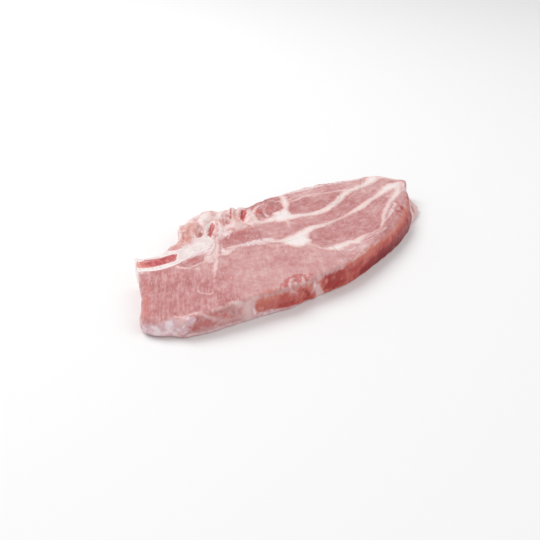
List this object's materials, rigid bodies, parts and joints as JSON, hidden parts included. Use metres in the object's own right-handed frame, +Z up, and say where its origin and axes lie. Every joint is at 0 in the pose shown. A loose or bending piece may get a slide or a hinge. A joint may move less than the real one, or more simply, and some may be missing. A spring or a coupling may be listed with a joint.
{
  "type": "pork shoulder chop with rib bone",
  "caption": "Raw pork shoulder chop: a thick slab of marbled meat with the rib, its marrow and sawn pieces of backbone let in flush, lying on its cut face.",
  "frame": {"origin": "middle of the underside, on the surface that the chop lies on", "axes": "+X from the rib end to the narrow end, +Y towards the back edge with the sawn backbone, +Z up through the cut face"},
  "size_m": [0.2308, 0.0996, 0.0167],
  "materials": {
    "meat": "moist, marbled raw pork",
    "bone": "sawn fresh bone",
    "marrow": "moist red marrow"
  },
  "bodies": {
    "root": {"meat": "meat", "rib_bone": "bone", "rib_marrow": "marrow", "backbone": "bone", "feather_bone": "bone"}
  },
  "joints": []
}
